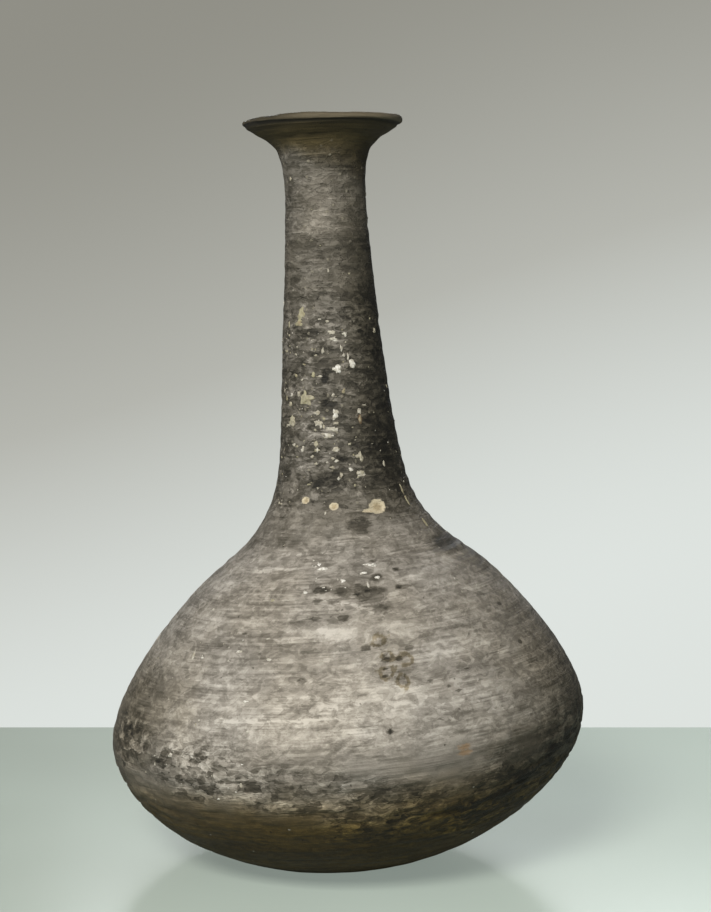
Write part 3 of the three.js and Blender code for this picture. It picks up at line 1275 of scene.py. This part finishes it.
def lay_floor():
    """A pale floor that ends a little behind the bottle, with painted light: lighter towards the
    right, and glowing to the camera alone, which weakens the shadows on it.
    """
    mesh = bpy.data.meshes.new("floor")
    left, right, front, back = -8.0, 8.0, -9.0, 0.208
    corners = [(left, front, 0.0), (right, front, 0.0), (right, back, 0.0), (left, back, 0.0)]
    mesh.from_pydata(corners, [], [(0, 1, 2, 3)])
    floor = set_down("floor", mesh)
    finish, w, surface = new_finish("pale_floor")
    place = w.node("ShaderNodeTexCoord").outputs["Object"]
    # Painted light: the floor is made lighter towards the right.
    cloud = w.add(w.parts(place)[0], w.noise(place, 5.0, detail=2.0), 0.3)
    lighter = w.fade(cloud, -0.15, 0.40)
    colour = w.blend(lighter, (0.285, 0.325, 0.285), (0.43, 0.505, 0.455))
    w.feed(surface["Base Color"], colour)
    surface["Roughness"].default_value = 0.22
    w.feed(surface["Emission Color"], colour)
    # Painted light: the floor glows, but only where the camera sees it.
    seen = w.times(w.node("ShaderNodeLightPath").outputs["Is Camera Ray"], FLOOR_GLOW)
    w.feed(surface["Emission Strength"], seen)
    mesh.materials.append(finish)


def light_studio():
    """A pale room, and one soft light above and in front, a little to the left."""
    world = bpy.data.worlds.new("pale_room")
    world.use_nodes = True
    world.node_tree.nodes.clear()
    w = Wiring(world.node_tree)
    rightward, _, up = w.parts(w.node("ShaderNodeTexCoord").outputs["Generated"])
    slant = w.maths("ADD", w.fade(rightward, -0.3, 0.3, 0.075, -0.075), up)
    seen = w.ramp(
        w.fade(slant, -0.19, 0.19),
        [(0.0, (0.73, 0.77, 0.74)), (0.45, (0.46, 0.465, 0.425)), (1.0, (0.28, 0.275, 0.24))],
    )
    lit = w.node("ShaderNodeBackground")
    w.fill(lit, Color=(0.86, 0.85, 0.80), Strength=ROOM_LIGHT)
    shown = w.node("ShaderNodeBackground")
    w.fill(shown, Color=seen)
    both = w.node("ShaderNodeMixShader")
    w.feed(both.inputs[0], w.node("ShaderNodeLightPath").outputs["Is Camera Ray"])
    w.feed(both.inputs[1], lit.outputs[0])
    w.feed(both.inputs[2], shown.outputs[0])
    w.feed(w.node("ShaderNodeOutputWorld").inputs[0], both.outputs[0])
    bpy.context.scene.world = world

    add_lamp("soft_light", (-0.24, -0.86, 0.62), (0.34, 0.26), 10.8, (1.0, 0.965, 0.90))
    add_lamp("fill_light", (0.10, 1.60, 0.95), (0.90, 0.60), 9.0, (0.94, 0.97, 1.0))


def add_lamp(name, location, size, watts, colour):
    """A rectangular lamp that shines on the bottle."""
    lamp = bpy.data.lights.new(name, "AREA")
    lamp.shape = "RECTANGLE"
    lamp.size, lamp.size_y = size
    lamp.energy = watts
    lamp.color = colour
    held = set_down(name, lamp)
    held.location = location
    aim = Vector((0.0, 0.0, 0.09)) - held.location
    held.rotation_euler = aim.to_track_quat("-Z", "Y").to_euler()


def place_camera():
    """The camera stands level with the neck and looks slightly down."""
    lens = bpy.data.cameras.new("camera")
    lens.lens = 79.7
    lens.sensor_width = 36.0
    lens.clip_start = 0.05
    camera = set_down("camera", lens)
    camera.location = (0.0108, -0.700, 0.1964)
    camera.rotation_euler = (math.radians(90.0) - CAMERA_TILT, 0.0, 0.0)
    bpy.context.scene.camera = camera


lay_floor()
light_studio()
place_camera()
bpy.context.scene.view_settings.view_transform = "Standard"
